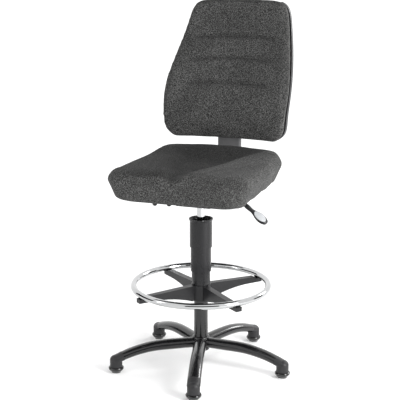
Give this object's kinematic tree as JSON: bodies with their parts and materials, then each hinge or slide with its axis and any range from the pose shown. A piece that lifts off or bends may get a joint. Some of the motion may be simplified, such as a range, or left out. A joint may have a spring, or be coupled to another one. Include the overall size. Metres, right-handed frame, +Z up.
{
  "type": "drafting chair",
  "caption": "High work chair with upholstered seat and back, telescopic gas column, adjustable foot ring and a star base on fixed glides.",
  "frame": {"origin": "on the floor, on the column axis", "axes": "+Z up, the sitter faces -Y, the sitter's left is +X"},
  "size_m": [0.6211, 0.7912, 1.3],
  "materials": {
    "black_steel": "gloss powder coat",
    "grey_plastic": "fine matt texture",
    "black_gloss_plastic": "gloss",
    "pad_rubber": "matt",
    "cover_plastic": "satin",
    "chrome": "polished",
    "spider_plastic": "satin",
    "bearing_steel": "machined",
    "slide_plastic": "smooth",
    "mechanism_steel": "satin powder coat",
    "grip_plastic": "satin",
    "inlay_grey": "satin silver",
    "shell_plastic": "fine texture",
    "seat_fabric": "woven dark grey melange"
  },
  "bodies": {
    "base": {"base_hub": "black_steel", "stand_tube": "black_steel", "guide_sleeve": "slide_plastic", "bearing_washer_lower": "bearing_steel", "cover_lower": "cover_plastic", "glide_pads": "pad_rubber", "leg_1": "black_steel", "leg_cap_1": "grey_plastic", "glide_1": "black_gloss_plastic", "leg_2": "black_steel", "leg_cap_2": "grey_plastic", "glide_2": "black_gloss_plastic", "leg_3": "black_steel", "leg_cap_3": "grey_plastic", "glide_3": "black_gloss_plastic", "leg_4": "black_steel", "leg_cap_4": "grey_plastic", "glide_4": "black_gloss_plastic", "leg_5": "black_steel", "leg_cap_5": "grey_plastic", "glide_5": "black_gloss_plastic"},
    "rod": {"piston_rod": "bearing_steel", "thrust_balls": "bearing_steel", "bearing_washer_upper": "bearing_steel", "buffer": "pad_rubber", "retaining_clip": "bearing_steel"},
    "mechanism": {"gas_cylinder": "chrome", "mechanism_housing": "mechanism_steel", "taper_socket": "mechanism_steel", "seat_pivot_shaft": "bearing_steel", "back_pivot_shaft": "bearing_steel", "lever_pivot_pin": "bearing_steel", "back_spring": "bearing_steel"},
    "cover_mid": {"cover_middle": "cover_plastic"},
    "cover_top": {"cover_upper": "cover_plastic"},
    "foot_ring": {"footring_spider": "spider_plastic", "footring": "chrome", "footring_screws": "bearing_steel", "footring_bush": "slide_plastic"},
    "ring_knob": {"clamp_knob": "spider_plastic"},
    "pin": {"release_pin": "bearing_steel"},
    "lift_lever": {"height_lever": "mechanism_steel", "lever_grip": "grip_plastic", "grip_inlay": "inlay_grey"},
    "seat_latch": {"seat_latch_lever": "mechanism_steel", "seat_latch_grip": "grip_plastic"},
    "back_latch": {"back_latch_lever": "mechanism_steel", "back_latch_grip": "grip_plastic"},
    "seat": {"seat_plate": "mechanism_steel", "seat_shell": "shell_plastic", "seat_cushion": "seat_fabric", "seat_screws": "bearing_steel"},
    "back_bar": {"back_bracket": "mechanism_steel", "bar_sleeve": "grey_plastic"},
    "backrest": {"back_carrier": "slide_plastic", "ratchet_pawl": "bearing_steel", "back_inner_shell": "shell_plastic", "back_cushion": "seat_fabric", "back_cover": "shell_plastic", "back_screws": "bearing_steel"}
  },
  "joints": [
    {"name": "seat_swivel", "type": "hinge", "parent": "base", "child": "rod", "pos_m": [0, 0, 0.07], "axis": [0, 0, 1], "continuous": true},
    {"name": "seat_height", "type": "slide", "parent": "rod", "child": "mechanism", "axis": [0, 0, 1], "range_m": [-0.14, 0]},
    {"name": "cover_mid_slide", "type": "slide", "parent": "base", "child": "cover_mid", "axis": [0, 0, 1], "range_m": [-0.0364, 0]},
    {"name": "cover_top_slide", "type": "slide", "parent": "base", "child": "cover_top", "axis": [0, 0, 1], "range_m": [-0.0896, 0]},
    {"name": "footring_height", "type": "slide", "parent": "base", "child": "foot_ring", "axis": [0, 0, 1], "range_m": [-0.12, 0]},
    {"name": "ring_knob_turn", "type": "hinge", "parent": "foot_ring", "child": "ring_knob", "pos_m": [0, 0.035, 0.27825], "axis": [0, 1, 0], "range_deg": [0, 270]},
    {"name": "lift_lever_pull", "type": "hinge", "parent": "mechanism", "child": "lift_lever", "pos_m": [0.045, 0, 0.634], "axis": [0, -1, 0], "range_deg": [0, 3.5], "stiffness_Nm_per_rad": 12, "springref_deg": -1.72},
    {"name": "pin_press", "type": "slide", "parent": "mechanism", "child": "pin", "axis": [0, 0, -1], "range_m": [0, 0.00275]},
    {"name": "seat_latch_turn", "type": "hinge", "parent": "mechanism", "child": "seat_latch", "pos_m": [-0.152, -0.038, 0.62], "axis": [1, 0, 0], "range_deg": [0, 22], "stiffness_Nm_per_rad": 0.6},
    {"name": "back_latch_turn", "type": "hinge", "parent": "mechanism", "child": "back_latch", "pos_m": [-0.114, 0.002, 0.62], "axis": [1, 0, 0], "range_deg": [0, 22], "stiffness_Nm_per_rad": 0.6},
    {"name": "seat_tilt", "type": "hinge", "parent": "mechanism", "child": "seat", "pos_m": [0, -0.06, 0.63], "axis": [1, 0, 0], "range_deg": [0, 6]},
    {"name": "back_tilt", "type": "hinge", "parent": "mechanism", "child": "back_bar", "pos_m": [0, 0.1, 0.621], "axis": [-1, 0, 0], "range_deg": [-4, 16]},
    {"name": "back_height", "type": "slide", "parent": "back_bar", "child": "backrest", "axis": [0, 0, 1], "range_m": [0, 0.06]}
  ],
  "couplings": [
    {"joint": "cover_mid_slide", "follows": "seat_height", "ratio": 0.26},
    {"joint": "cover_top_slide", "follows": "seat_height", "ratio": 0.64},
    {"joint": "pin_press", "follows": "lift_lever_pull", "m_per_rad": 0.045}
  ]
}
